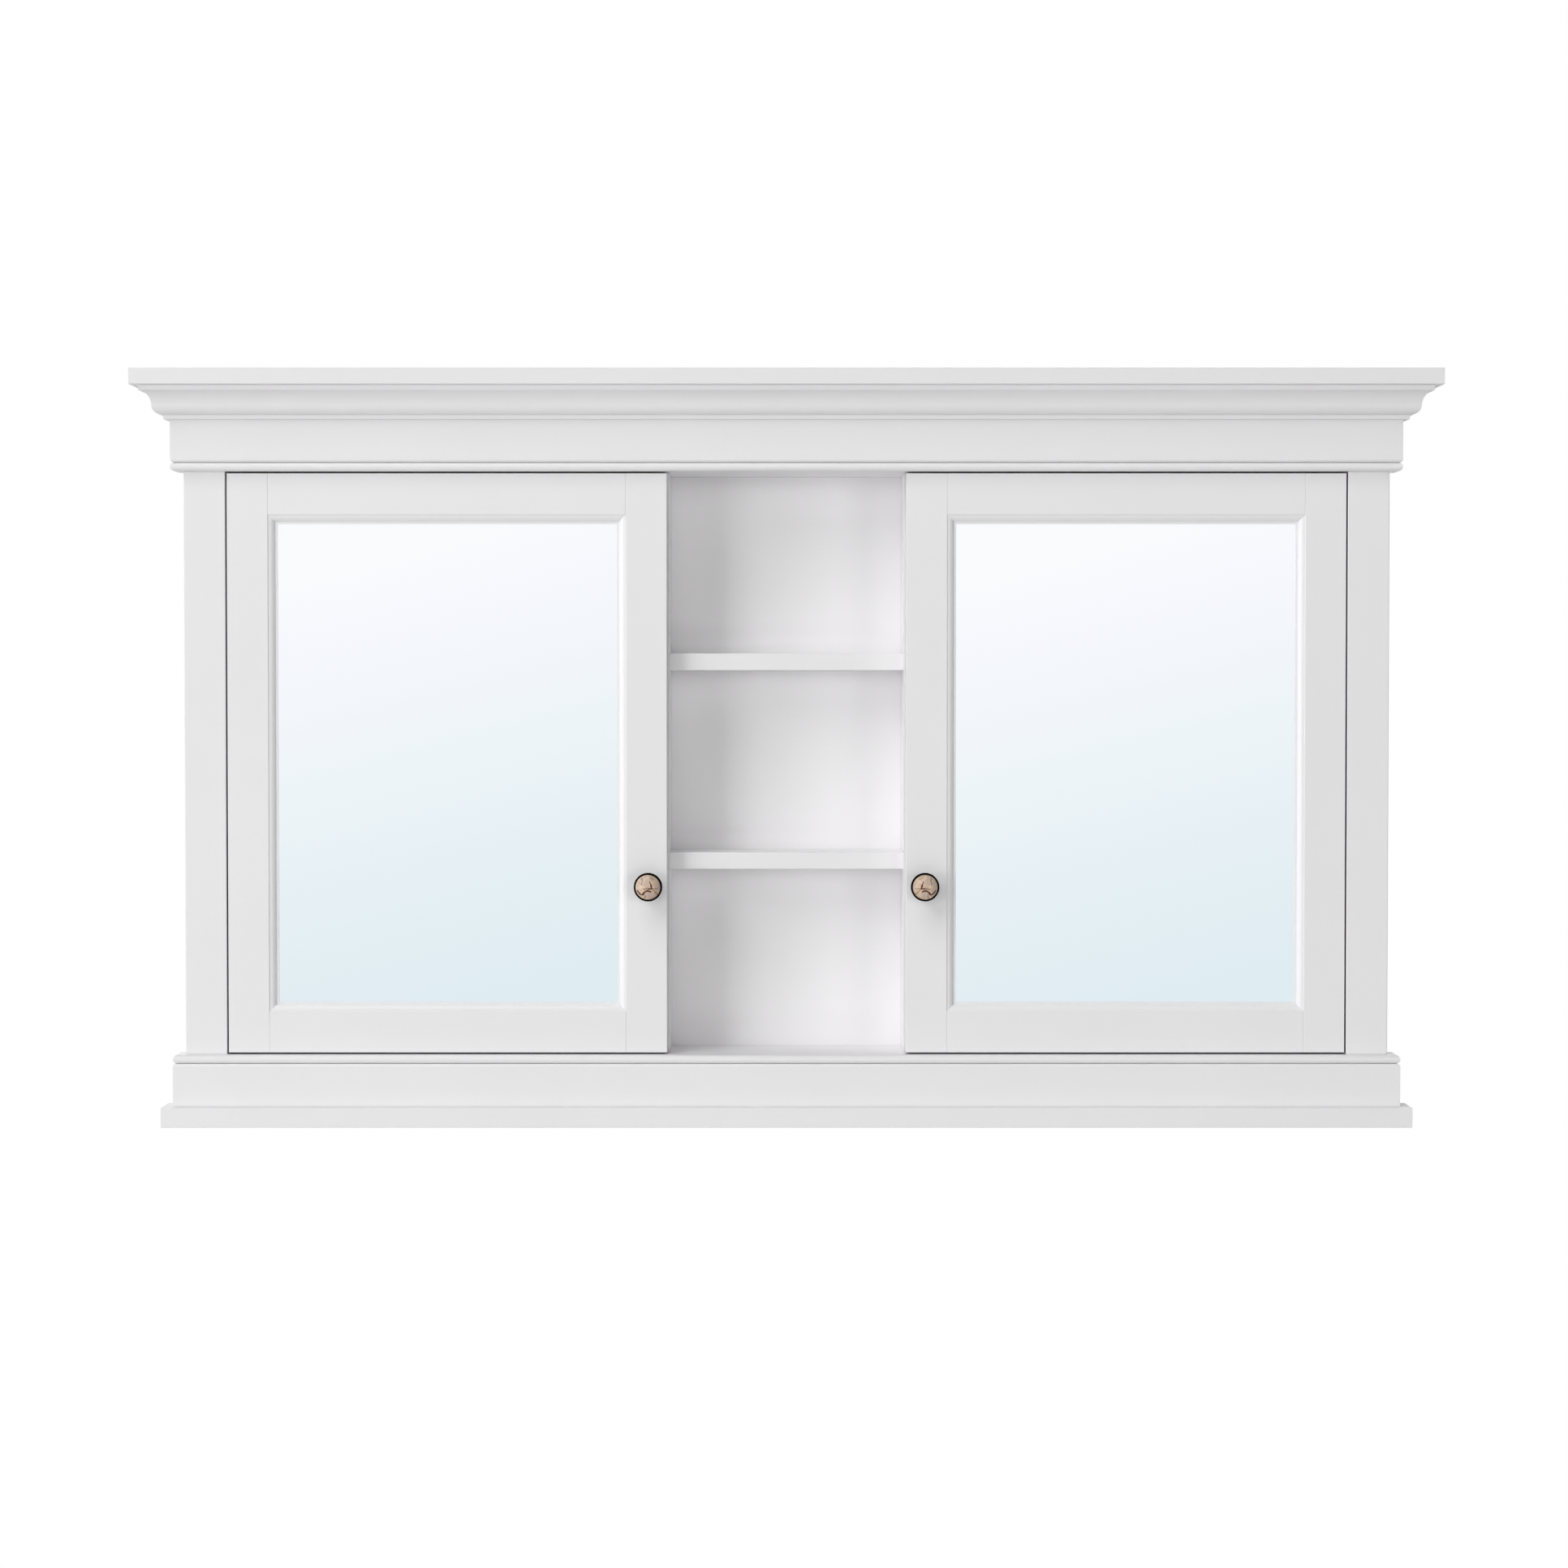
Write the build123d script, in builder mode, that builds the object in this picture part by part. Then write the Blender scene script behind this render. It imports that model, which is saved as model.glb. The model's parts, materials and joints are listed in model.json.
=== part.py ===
from build123d import *
from math import sqrt
import os

os.makedirs("parts", exist_ok=True)

# Recessed double-door medicine cabinet, in millimetres.
# The wall's surface is y = 0 and the front faces -Y, so what is behind the wall has y > 0.
# x = 0 is the middle of the cabinet and z = 0 the middle of the face frame's opening.

# Face frame
face_width = 1133.0
face_thickness = 19.05
pilaster_width = 39.0
opening_height = 548.4
tenon_length = 10.0
tenon_thickness = 6.35
tenon_shoulder = 12.0
carcass_let_in = 6.0
edge_ease = 0.8

# Crown: cap board, top fillet, cove over ovolo, bottom fillet
cap_thickness = 15.0
cap_projection = 43.1
crown_top_fillet = 5.0
crown_top_projection = 35.4
cove_height = 13.1
cove_projection = 32.8
ovolo_height = 8.2
ogee_waist_projection = 25.2
ovolo_projection = 16.4
crown_foot_height = 4.0
crown_foot_projection = 15.8

# Beaded frieze boards above and below the opening, and the plinth
upper_frieze_height = 48.0
lower_frieze_height = 48.4
frieze_projection = 10.6
frieze_edge_radius = 3.2
bead_height = 8.0
bead_projection = 10.6
plinth_height = 18.7
plinth_projection = 20.5

# Carcass
panel_thickness = 16.0
inside_depth = 63.5
back_thickness = 6.0
rabbet_depth = 6.0
back_rabbet = 8.0
back_gap = 0.5
housing_depth = 5.0
centre_bay_width = 222.0
partition_front = 1.0

# Fixed shelves of the open bay
fixed_shelf_thickness = 16.0
lower_bay_height = 173.7
middle_bay_height = 172.3
fixed_shelf_front = 3.0

# Adjustable shelves behind the doors
loose_shelf_thickness = 12.0
loose_shelf_front = 4.0
loose_shelf_back_gap = 2.0
loose_shelf_end_gap = 1.5
loose_shelf_height = 91.0
pin_radius = 2.5
pin_clearance = 0.05
pin_hole_depth = 10.0
pin_depth_in_panel = 9.0
pin_reach = 7.0
pin_sides = 12
pin_hole_pitch = 32.0
pin_hole_steps = (0, 1)
pin_edge_distance = 12.0

# Fixing holes to the studs
stud_screw_radius = 2.5
stud_screw_height = 245.0
stud_screw_depth = 32.0

# Doors
door_thickness = 18.5
door_gap = 1.5
door_reveal = 1.6
stile_flat = 38.6
rail_flat = 39.0
arris = 0.4
quirk_depth = 0.8
sticking_ovolo_width = 6.2
sticking_ovolo_drop = 4.0
sticking_width = 8.5
lip_face_depth = 4.8
mirror_setback = 6.0
mirror_rabbet = 8.0
mirror_edge_gap = 1.0
mirror_thickness = 4.0
backing_thickness = 3.0
bead_width = 6.5
bead_recess = 0.4
bead_radius = 2.0
rail_tenon_length = 9.0
rail_tenon_thickness = 6.0
rail_tenon_shoulder = 9.0
tenon_end_gap = 0.5
bumper_radius = 4.0
bumper_sides = 12
bumper_gap = 0.3
bumper_inset = 18.0

# Knobs
knob_x = 129.8
knob_z = -115.5
knob_radius = 13.4
knob_projection = 27.0
knob_foot_radius = 7.5
knob_foot_height = 2.5
knob_neck_radius = 4.8
knob_neck_start = 5.0
knob_neck_end = 10.5
knob_ring_height = 5.5
knob_ring_wall = 1.3
knob_dome_height = 6.2
knob_dome = [(1.0, 0.0), (0.93, 0.4), (0.72, 0.74), (0.4, 0.95), (0.0, 1.0)]

# Concealed cup hinges
hinge_height = 200.0
cup_radius = 13.0
cup_wall = 1.0
cup_depth = 10.0
cup_bore_clearance = 0.1
cup_edge_distance = 5.0
cup_flange_thickness = 1.2
cup_flange_width = 31.0
cup_flange_height = 48.0
cup_flange_corner = 5.0
hinge_pin_inset = 11.0
hinge_pin_depth = 13.5
hinge_pin_radius = 1.5
hinge_pin_clearance = 0.1
link_eye_radius = 3.0
link_thickness = 2.5
link_width = 8.0
link_offset = 8.0
link_length = 40.0
link_bend_cut = 1.5
arm_start = 23.0
arm_length = 43.0
arm_reach = 32.5
arm_tail_reach = 12.0
arm_slope = 10.0
arm_sheet = 1.3
arm_side_clearance = 1.0
arm_foot_thickness = 4.0
arm_foot_width = 22.0

# Levels and faces that follow from the sizes above
face_half = face_width / 2
opening_half_width = face_half - pilaster_width
opening_half = opening_height / 2
face_front = -face_thickness
crown_foot = opening_half + upper_frieze_height
crown_height = crown_foot_height + ovolo_height + cove_height + crown_top_fillet
frame_top = crown_foot + crown_height
frame_bottom = -(opening_half + lower_frieze_height + plinth_height)
carcass_half_height = opening_half + panel_thickness
carcass_front = -carcass_let_in
carcass_back = inside_depth + back_thickness
partition_inner = centre_bay_width / 2
partition_outer = partition_inner + panel_thickness
lower_shelf_bottom = -opening_half + lower_bay_height
upper_shelf_bottom = lower_shelf_bottom + fixed_shelf_thickness + middle_bay_height
door_outer = opening_half_width - door_gap
door_inner = partition_inner + door_reveal
door_half_height = opening_half - door_gap
door_back = face_front + door_thickness
pin_hole_radius = pin_radius + pin_clearance


def save(builder, label):
    builder.part.label = label
    export_step(builder.part, f"parts/{label}.step")


# The cabinet is the same on both sides, so a right-hand piece is drawn and mirrored.
def save_pair(right, label):
    save(right, f"right_{label}")
    with BuildPart() as left:
        mirror(right.part, about=Plane.YZ)
    save(left, f"left_{label}")


# A square-edged board, or the waste of a groove or rabbet, between two x, y and z values.
def board(x, y, z, mode=Mode.ADD):
    with Locations(((x[0] + x[1]) / 2, (y[0] + y[1]) / 2, (z[0] + z[1]) / 2)):
        Box(abs(x[1] - x[0]), abs(y[1] - y[0]), abs(z[1] - z[0]), mode=mode)


# Pilasters: the stiles of the face frame, with mortises for the rails
# and a rabbet at the inner back edge that takes the side panel.
mortise_front = face_front + (face_thickness - carcass_let_in - tenon_thickness) / 2
mortise_back = mortise_front + tenon_thickness
upper_tenon = (opening_half + tenon_shoulder, frame_top - tenon_shoulder)
lower_tenon = (frame_bottom + tenon_shoulder, -opening_half - tenon_shoulder)

with BuildPart() as pilaster:
    board((opening_half_width, face_half), (face_front, 0), (frame_bottom, frame_top))
    fillet(pilaster.edges().filter_by(Axis.Z).group_by(Axis.Y)[0], radius=edge_ease)
    board(
        (opening_half_width, opening_half_width + panel_thickness),
        (carcass_front, 0),
        (-carcass_half_height, carcass_half_height),
        mode=Mode.SUBTRACT,
    )
    for tenon in (upper_tenon, lower_tenon):
        board(
            (opening_half_width, opening_half_width + tenon_length + tenon_end_gap),
            (mortise_front, mortise_back),
            tenon,
            mode=Mode.SUBTRACT,
        )
save_pair(pilaster, "pilaster")


# Rails of the face frame, tenoned into the pilasters and rabbeted for the top and bottom panels.
def frame_rail(label, edge, far, tenon):
    away = 1 if far > edge else -1
    with BuildPart() as rail:
        board((-opening_half_width, opening_half_width), (face_front, 0), (edge, far))
        fillet(rail.edges().filter_by(Axis.X).group_by(Axis.Y)[0], radius=edge_ease)
        board(
            (-opening_half_width, opening_half_width),
            (carcass_front, 0),
            (edge, edge + away * panel_thickness),
            mode=Mode.SUBTRACT,
        )
        tenon_tip = opening_half_width + tenon_length
        board((-tenon_tip, tenon_tip), (mortise_front, mortise_back), tenon)
    save(rail, label)


frame_rail("upper_rail", opening_half, frame_top, upper_tenon)
frame_rail("lower_rail", -opening_half, frame_bottom, lower_tenon)

# Mouldings: a front length and two returns, mitred at the corners of the face frame.
# Outlines are drawn with x as the projection from the frame and y as the height.
front_section = Plane(origin=(0, face_front, 0), x_dir=(0, -1, 0), z_dir=(-1, 0, 0))
return_section = Plane(origin=(face_half, 0, 0), x_dir=(1, 0, 0), z_dir=(0, -1, 0))
right_mitre = Plane(origin=(face_half, face_front, 0), z_dir=(1, 1, 0))
left_mitre = Plane(origin=(-face_half, face_front, 0), z_dir=(-1, 1, 0))


def moulding(label, outline, projection):
    with BuildPart() as front:
        with BuildSketch(front_section):
            outline()
        extrude(amount=face_half + projection, both=True)
        split(bisect_by=right_mitre, keep=Keep.BOTTOM)
        split(bisect_by=left_mitre, keep=Keep.BOTTOM)
    save(front, f"{label}_front")

    with BuildPart() as side:
        with BuildSketch(return_section):
            outline()
        extrude(amount=face_thickness + projection)
        split(bisect_by=right_mitre, keep=Keep.TOP)
    save_pair(side, f"{label}_return")


# The cove and the ovolo both leave the ogee's waist upright.
def crown_outline():
    foot_top = crown_foot + crown_foot_height
    waist = (ogee_waist_projection, foot_top + ovolo_height)
    cove_top = (cove_projection, waist[1] + cove_height)
    ovolo_bottom = (ovolo_projection, foot_top)
    with BuildLine() as outline:
        TangentArc(waist, cove_top, tangent=(0, 1))
        TangentArc(waist, ovolo_bottom, tangent=(0, -1))
        Polyline(
            cove_top,
            (crown_top_projection, cove_top[1]),
            (crown_top_projection, frame_top),
            (0, frame_top),
            (0, crown_foot),
            (crown_foot_projection, crown_foot),
            (crown_foot_projection, foot_top),
            ovolo_bottom,
        )
    make_face(outline.edges())


moulding("crown", crown_outline, crown_top_projection)

with BuildPart() as crown_cap:
    cap_half = face_half + cap_projection
    board((-cap_half, cap_half), (face_front - cap_projection, 0), (frame_top, frame_top + cap_thickness))
    fillet(crown_cap.edges().filter_by(Axis.X).group_by(Axis.Y)[0], radius=edge_ease)
save(crown_cap, "crown_cap")


# A frieze board: a half-round bead at the opening, a groove, and a rounded edge to the flat.
def frieze_outline(opening_edge, away, height):
    bead_foot = bead_projection - bead_height / 2
    groove = opening_edge + away * bead_height
    far = opening_edge + away * height
    with BuildLine() as outline:
        TangentArc((bead_foot, opening_edge), (bead_foot, groove), tangent=(1, 0))
        round_start = (frieze_projection - frieze_edge_radius, groove)
        round_end = (frieze_projection, groove + away * frieze_edge_radius)
        Line((bead_foot, groove), round_start)
        TangentArc(round_start, round_end, tangent=(1, 0))
        Polyline(
            round_end,
            (frieze_projection, far),
            (0, far),
            (0, opening_edge),
            (bead_foot, opening_edge),
        )
    make_face(outline.edges())


frieze_reach = max(frieze_projection, bead_projection)
moulding("upper_frieze", lambda: frieze_outline(opening_half, 1, upper_frieze_height), frieze_reach)
moulding("lower_frieze", lambda: frieze_outline(-opening_half, -1, lower_frieze_height), frieze_reach)


def plinth_outline():
    with Locations((0, frame_bottom)):
        block = Rectangle(plinth_projection, plinth_height, align=(Align.MIN, Align.MIN))
    fillet(block.vertices().group_by(Axis.X)[-1], radius=edge_ease)


moulding("plinth", plinth_outline, plinth_projection)

# Side panels: end rabbets for the top and bottom panels, a back rabbet,
# line-bored holes for the twelve-sided shelf pins and round holes for the stud screws.
pin_rows = [
    side * loose_shelf_height + step * pin_hole_pitch
    for side in (-1, 1)
    for step in pin_hole_steps
]
loose_shelf_back = inside_depth - loose_shelf_back_gap
pin_columns = (loose_shelf_front + pin_edge_distance, loose_shelf_back - pin_edge_distance)
pin_holes = [(y, z) for y in pin_columns for z in pin_rows]
back_edge = opening_half_width + back_rabbet

with BuildPart() as side_panel:
    side_outer = opening_half_width + panel_thickness
    board(
        (opening_half_width, side_outer),
        (carcass_front, carcass_back),
        (-carcass_half_height, carcass_half_height),
    )
    for end in (-1, 1):
        board(
            (opening_half_width, opening_half_width + rabbet_depth),
            (carcass_front, carcass_back),
            (end * opening_half, end * carcass_half_height),
            mode=Mode.SUBTRACT,
        )
    board(
        (opening_half_width, back_edge),
        (inside_depth, carcass_back),
        (-opening_half - back_rabbet, opening_half + back_rabbet),
        mode=Mode.SUBTRACT,
    )
    with BuildSketch(Plane.YZ.offset(opening_half_width)):
        with Locations(*pin_holes):
            RegularPolygon(pin_hole_radius, pin_sides)
    extrude(amount=pin_hole_depth, mode=Mode.SUBTRACT)
    with BuildSketch(Plane.YZ.offset(opening_half_width)):
        with Locations((stud_screw_depth, stud_screw_height), (stud_screw_depth, -stud_screw_height)):
            Circle(stud_screw_radius)
    extrude(amount=panel_thickness, mode=Mode.SUBTRACT)
save_pair(side_panel, "side_panel")


# Top and bottom panels, housed for the partitions and rabbeted for the back.
def end_panel(label, away):
    inner, outer = away * opening_half, away * carcass_half_height
    reach = opening_half_width + rabbet_depth
    with BuildPart() as panel:
        board((-reach, reach), (carcass_front, carcass_back), (inner, outer))
        board(
            (-reach, reach),
            (inside_depth, carcass_back),
            (inner, inner + away * back_rabbet),
            mode=Mode.SUBTRACT,
        )
        for side in (-1, 1):
            board(
                (side * partition_inner, side * partition_outer),
                (partition_front, inside_depth),
                (inner, inner + away * housing_depth),
                mode=Mode.SUBTRACT,
            )
    save(panel, label)


end_panel("top_panel", 1)
end_panel("bottom_panel", -1)

with BuildPart() as back_panel:
    back_x = back_edge - back_gap
    back_z = opening_half + back_rabbet - back_gap
    board((-back_x, back_x), (inside_depth, carcass_back), (-back_z, back_z))
save(back_panel, "back_panel")

# Partitions between the open bay and the doors, housed for the fixed shelves.
fixed_shelves = {"lower": lower_shelf_bottom, "upper": upper_shelf_bottom}

with BuildPart() as partition:
    partition_tip = opening_half + housing_depth
    board(
        (partition_inner, partition_outer),
        (partition_front, inside_depth),
        (-partition_tip, partition_tip),
    )
    for bottom in fixed_shelves.values():
        board(
            (partition_inner, partition_inner + housing_depth),
            (fixed_shelf_front, inside_depth),
            (bottom, bottom + fixed_shelf_thickness),
            mode=Mode.SUBTRACT,
        )
    with BuildSketch(Plane.YZ.offset(partition_outer)):
        with Locations(*pin_holes):
            RegularPolygon(pin_hole_radius, pin_sides)
    extrude(amount=-pin_hole_depth, mode=Mode.SUBTRACT)
save_pair(partition, "partition")

for level, bottom in fixed_shelves.items():
    with BuildPart() as fixed_shelf:
        shelf_tip = partition_inner + housing_depth
        board(
            (-shelf_tip, shelf_tip),
            (fixed_shelf_front, inside_depth),
            (bottom, bottom + fixed_shelf_thickness),
        )
        fillet(fixed_shelf.edges().filter_by(Axis.X).group_by(Axis.Y)[0], radius=edge_ease)
    save(fixed_shelf, f"centre_shelf_{level}")

# Adjustable shelves, each laid on four pins.
for level, side in (("lower", -1), ("upper", 1)):
    with BuildPart() as loose_shelf:
        seat = side * loose_shelf_height + pin_radius + pin_clearance
        board(
            (partition_outer + loose_shelf_end_gap, opening_half_width - loose_shelf_end_gap),
            (loose_shelf_front, loose_shelf_back),
            (seat, seat + loose_shelf_thickness),
        )
        fillet(loose_shelf.edges().filter_by(Axis.X).group_by(Axis.Y)[0], radius=edge_ease)
    save_pair(loose_shelf, f"shelf_{level}")

with BuildPart() as shelf_pins:
    pin_places = [(y, side * loose_shelf_height) for y in pin_columns for side in (-1, 1)]
    for face, inward in ((opening_half_width, -1), (partition_outer, 1)):
        with BuildSketch(Plane.YZ.offset(face - inward * pin_depth_in_panel)):
            with Locations(*pin_places):
                RegularPolygon(pin_radius, pin_sides)
        extrude(amount=inward * (pin_depth_in_panel + pin_reach))
    mirror(about=Plane.YZ)
save(shelf_pins, "shelf_pins")

# Bumpers on the partitions' front edges, where the doors close.
bumper_height = partition_front - door_back - bumper_gap
with BuildPart() as door_bumpers:
    bumper_x = (door_inner + partition_outer) / 2
    bumper_z = door_half_height - bumper_inset
    with BuildSketch(Plane.XZ.offset(-partition_front)):
        with Locations((bumper_x, bumper_z), (bumper_x, -bumper_z)):
            RegularPolygon(bumper_radius, bumper_sides)
    extrude(amount=bumper_height)
    mirror(about=Plane.YZ)
save(door_bumpers, "door_bumpers")

# Door frame. A member's section has w from its outer edge and v from its face:
# flat, quirk, ovolo sticking, lip, and behind the lip the rabbet for the mirror.
rabbet_shoulder = sticking_width - mirror_rabbet
rail_edge = door_half_height - rail_flat


def frame_section(place, flat):
    lip = flat + sticking_width
    shoulder = flat + rabbet_shoulder
    ovolo_start = Vector(*place(flat, quirk_depth))
    ovolo_end = Vector(*place(flat + sticking_ovolo_width, quirk_depth + sticking_ovolo_drop))
    level = Vector(*place(lip, quirk_depth)) - ovolo_start
    with BuildLine() as outline:
        TangentArc(ovolo_start, ovolo_end, tangent=level)
        Polyline(
            ovolo_end,
            place(lip, lip_face_depth),
            place(lip, mirror_setback),
            place(shoulder, mirror_setback),
            place(shoulder, door_thickness),
            place(0, door_thickness),
            place(0, 0),
            place(flat, 0),
            place(flat, quirk_depth),
        )
    make_face(outline.edges())


tenon_front = face_front + mirror_setback
tenon_z = (rail_edge + rail_tenon_shoulder, door_half_height - rail_tenon_shoulder)
waste = sticking_width + edge_ease


# Takes the sharpness off the arrises round a member's face, which leaves a fine V at each joint.
def ease_face(member):
    face = member.faces().filter_by(Axis.Y).sort_by(Axis.Y)[0]
    chamfer(face.edges(), length=arris)


# Takes the sticking off a member's end along the 45 degree line of the corner.
def cut_corners(outlines):
    with BuildSketch(Plane.XZ) as corners:
        for points in outlines:
            for flip in (1, -1):
                with BuildLine():
                    Polyline(*[(x, flip * z) for x, z in points], close=True)
                make_face()
    extrude(corners.sketch, amount=-2 * face_front, both=True, mode=Mode.SUBTRACT)


def door_stile(edge, inward):
    inner = edge + inward * stile_flat
    with BuildSketch(Plane.XY.offset(-door_half_height)) as section:
        frame_section(lambda w, v: (edge + inward * w, face_front + v), stile_flat)
    extrude(section.sketch, amount=2 * door_half_height)
    cut_corners(
        [
            [
                (inner, rail_edge),
                (inner + inward * waste, rail_edge - waste),
                (inner + inward * waste, door_half_height),
                (inner, door_half_height),
            ]
        ]
    )
    for end in (-1, 1):
        board(
            (inner - inward * (rail_tenon_length + tenon_end_gap), inner),
            (tenon_front, tenon_front + rail_tenon_thickness),
            (end * tenon_z[0], end * tenon_z[1]),
            mode=Mode.SUBTRACT,
        )


cup_x = door_outer - cup_edge_distance - cup_radius
cup_places = [(cup_x, hinge_height), (cup_x, -hinge_height)]

with BuildPart() as hinge_stile:
    door_stile(door_outer, -1)
    ease_face(hinge_stile)
    with BuildSketch(Plane.XZ.offset(-door_back)):
        with Locations(*cup_places):
            Circle(cup_radius + cup_bore_clearance)
    extrude(amount=cup_depth + cup_bore_clearance, mode=Mode.SUBTRACT)
save_pair(hinge_stile, "door_hinge_stile")

with BuildPart() as lock_stile:
    door_stile(door_inner, 1)
    ease_face(lock_stile)
save_pair(lock_stile, "door_lock_stile")

with BuildPart() as top_rail:
    with BuildSketch(Plane.YZ.offset(door_inner + stile_flat)):
        frame_section(lambda w, v: (face_front + v, door_half_height - w), rail_flat)
    extrude(amount=door_outer - door_inner - 2 * stile_flat)
    corners = []
    for edge, inward in ((door_outer, -1), (door_inner, 1)):
        inner = edge + inward * stile_flat
        corners.append(
            [
                (inner, rail_edge),
                (inner, rail_edge - waste),
                (inner + inward * waste, rail_edge - waste),
            ]
        )
    cut_corners(corners)
    board(
        (door_inner + stile_flat - rail_tenon_length, door_outer - stile_flat + rail_tenon_length),
        (tenon_front, tenon_front + rail_tenon_thickness),
        tenon_z,
    )
    ease_face(top_rail)
save_pair(top_rail, "door_top_rail")

with BuildPart() as bottom_rail:
    mirror(top_rail.part, about=Plane.XY)
save_pair(bottom_rail, "door_bottom_rail")

# Mirror, backing board and the beads that hold them, in the rabbet of the door frame.
rabbet_x = (door_inner + stile_flat + rabbet_shoulder, door_outer - stile_flat - rabbet_shoulder)
rabbet_z = rail_edge - rabbet_shoulder
glass_x = (rabbet_x[0] + mirror_edge_gap, rabbet_x[1] - mirror_edge_gap)
glass_z = rabbet_z - mirror_edge_gap
mirror_front = face_front + mirror_setback
mirror_back = mirror_front + mirror_thickness
backing_back = mirror_back + backing_thickness

with BuildPart() as mirror_glass:
    board(glass_x, (mirror_front, mirror_back), (-glass_z, glass_z))
save_pair(mirror_glass, "mirror")

with BuildPart() as backing_board:
    board(glass_x, (mirror_back, backing_back), (-glass_z, glass_z))
save_pair(backing_board, "backing_board")

with BuildPart() as retaining_beads:
    bead_y = (backing_back, door_back - bead_recess)
    for start, inward in ((rabbet_x[0], 1), (rabbet_x[1], -1)):
        board((start, start + inward * bead_width), bead_y, (-rabbet_z, rabbet_z))
    between_x = (rabbet_x[0] + bead_width, rabbet_x[1] - bead_width)
    upright_edges = retaining_beads.edges().filter_by(Axis.Z).group_by(Axis.Y)[-1]
    fillet(upright_edges.sort_by(Axis.X)[1:3], radius=bead_radius)
    for end in (-1, 1):
        with BuildSketch(Plane.YZ.offset(between_x[0])) as cross_bead:
            with Locations((bead_y[0], end * rabbet_z)):
                Rectangle(
                    bead_y[1] - bead_y[0],
                    bead_width,
                    align=(Align.MIN, Align.MAX if end > 0 else Align.MIN),
                )
            inner_corner = cross_bead.vertices().sort_by(lambda v: abs(v.Z) * face_width - v.Y)[0]
            fillet(inner_corner, radius=bead_radius)
        extrude(amount=between_x[1] - between_x[0])
save_pair(retaining_beads, "mirror_beads")

# Knob: a turned base with a ring, and a domed stone set in it.
# Outlines are drawn with x as the radius and y as the distance from the door's face.
knob_plane = Plane(origin=(knob_x, face_front, knob_z), x_dir=(1, 0, 0), z_dir=(0, 0, 1))
knob_axis = Axis((knob_x, face_front, knob_z), (0, -1, 0))
ring_top = knob_projection - knob_dome_height
ring_bottom = ring_top - knob_ring_height
stone_radius = knob_radius - knob_ring_wall
stone_seat = ring_bottom + knob_ring_wall

with BuildPart() as knob_base:
    with BuildSketch(knob_plane):
        with BuildLine():
            Polyline(
                (0, 0),
                (knob_foot_radius, 0),
                (knob_foot_radius, -knob_foot_height),
                (knob_neck_radius, -knob_neck_start),
                (knob_neck_radius, -knob_neck_end),
                (knob_radius, -ring_bottom),
                (knob_radius, -ring_top),
                (stone_radius, -ring_top),
                (stone_radius, -stone_seat),
                (0, -stone_seat),
                close=True,
            )
        make_face()
    revolve(axis=knob_axis)
save_pair(knob_base, "knob_base")

with BuildPart() as knob_stone:
    with BuildSketch(knob_plane):
        with BuildLine():
            dome = [(stone_radius * r, -(ring_top + knob_dome_height * h)) for r, h in knob_dome]
            Polyline((0, -stone_seat), (stone_radius, -stone_seat), *dome, close=True)
        make_face()
    revolve(axis=knob_axis)
save_pair(knob_stone, "knob_stone")

# Hinge cups, let into the hinge stile's back, with the pin that the link turns on.
pin_x = door_outer - hinge_pin_inset
pin_y = face_front + hinge_pin_depth
pin_offset = abs(pin_x - cup_x) + hinge_pin_radius
pin_half_length = sqrt(cup_radius**2 - pin_offset**2)
flange_back = door_back + cup_flange_thickness


def hinge_pins(radius, mode=Mode.ADD):
    for height in (hinge_height, -hinge_height):
        with BuildSketch(Plane.XY.offset(height - pin_half_length)) as section:
            with Locations((pin_x, pin_y)):
                RegularPolygon(radius, pin_sides)
        extrude(section.sketch, amount=2 * pin_half_length, mode=mode)


with BuildPart() as hinge_cups:
    with BuildSketch(Plane.XZ.offset(-door_back)):
        with Locations(*cup_places):
            flange = Rectangle(cup_flange_width, cup_flange_height)
        chamfer(flange.vertices(), length=cup_flange_corner)
    extrude(amount=-cup_flange_thickness)
    with BuildSketch(Plane.XZ.offset(-door_back)):
        with Locations(*cup_places):
            Circle(cup_radius)
    extrude(amount=cup_depth)
    with BuildSketch(Plane.XZ.offset(-flange_back)):
        with Locations(*cup_places):
            Circle(cup_radius - cup_wall)
    extrude(amount=cup_flange_thickness + cup_depth - cup_wall, mode=Mode.SUBTRACT)
    hinge_pins(hinge_pin_radius, mode=Mode.SUBTRACT)
save_pair(hinge_cups, "hinge_cups")

with BuildPart() as hinge_pin_pair:
    hinge_pins(hinge_pin_radius)
save_pair(hinge_pin_pair, "hinge_pins")

# Hinge links: an eye on the cup's pin, a crank that clears the door's edge when it is open,
# and a leg that runs back between the cheeks of the arm.
with BuildPart() as hinge_links:
    leg_x = pin_x - link_offset - link_thickness / 2
    leg_end = pin_y + link_length
    for height in (hinge_height, -hinge_height):
        with BuildSketch(Plane.XY.offset(height - link_width / 2)):
            with BuildLine():
                Polyline(
                    (pin_x, pin_y - link_thickness / 2),
                    (leg_x - link_thickness / 2 + link_bend_cut, pin_y - link_thickness / 2),
                    (leg_x - link_thickness / 2, pin_y - link_thickness / 2 + link_bend_cut),
                    (leg_x - link_thickness / 2, leg_end),
                    (leg_x + link_thickness / 2, leg_end),
                    (leg_x + link_thickness / 2, pin_y + link_thickness / 2),
                    (pin_x, pin_y + link_thickness / 2),
                    close=True,
                )
            make_face()
            with Locations((pin_x, pin_y)):
                Circle(link_eye_radius)
                RegularPolygon(hinge_pin_radius + hinge_pin_clearance, pin_sides, mode=Mode.SUBTRACT)
        extrude(amount=link_width)
save_pair(hinge_links, "hinge_links")

# Hinge arms on the side panels: a foot, and two cheeks that the link runs between.
arm_inside = link_width / 2 + arm_side_clearance
arm_outside = arm_inside + arm_sheet
arm_y = (face_front + arm_start, face_front + arm_start + arm_length)

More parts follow.
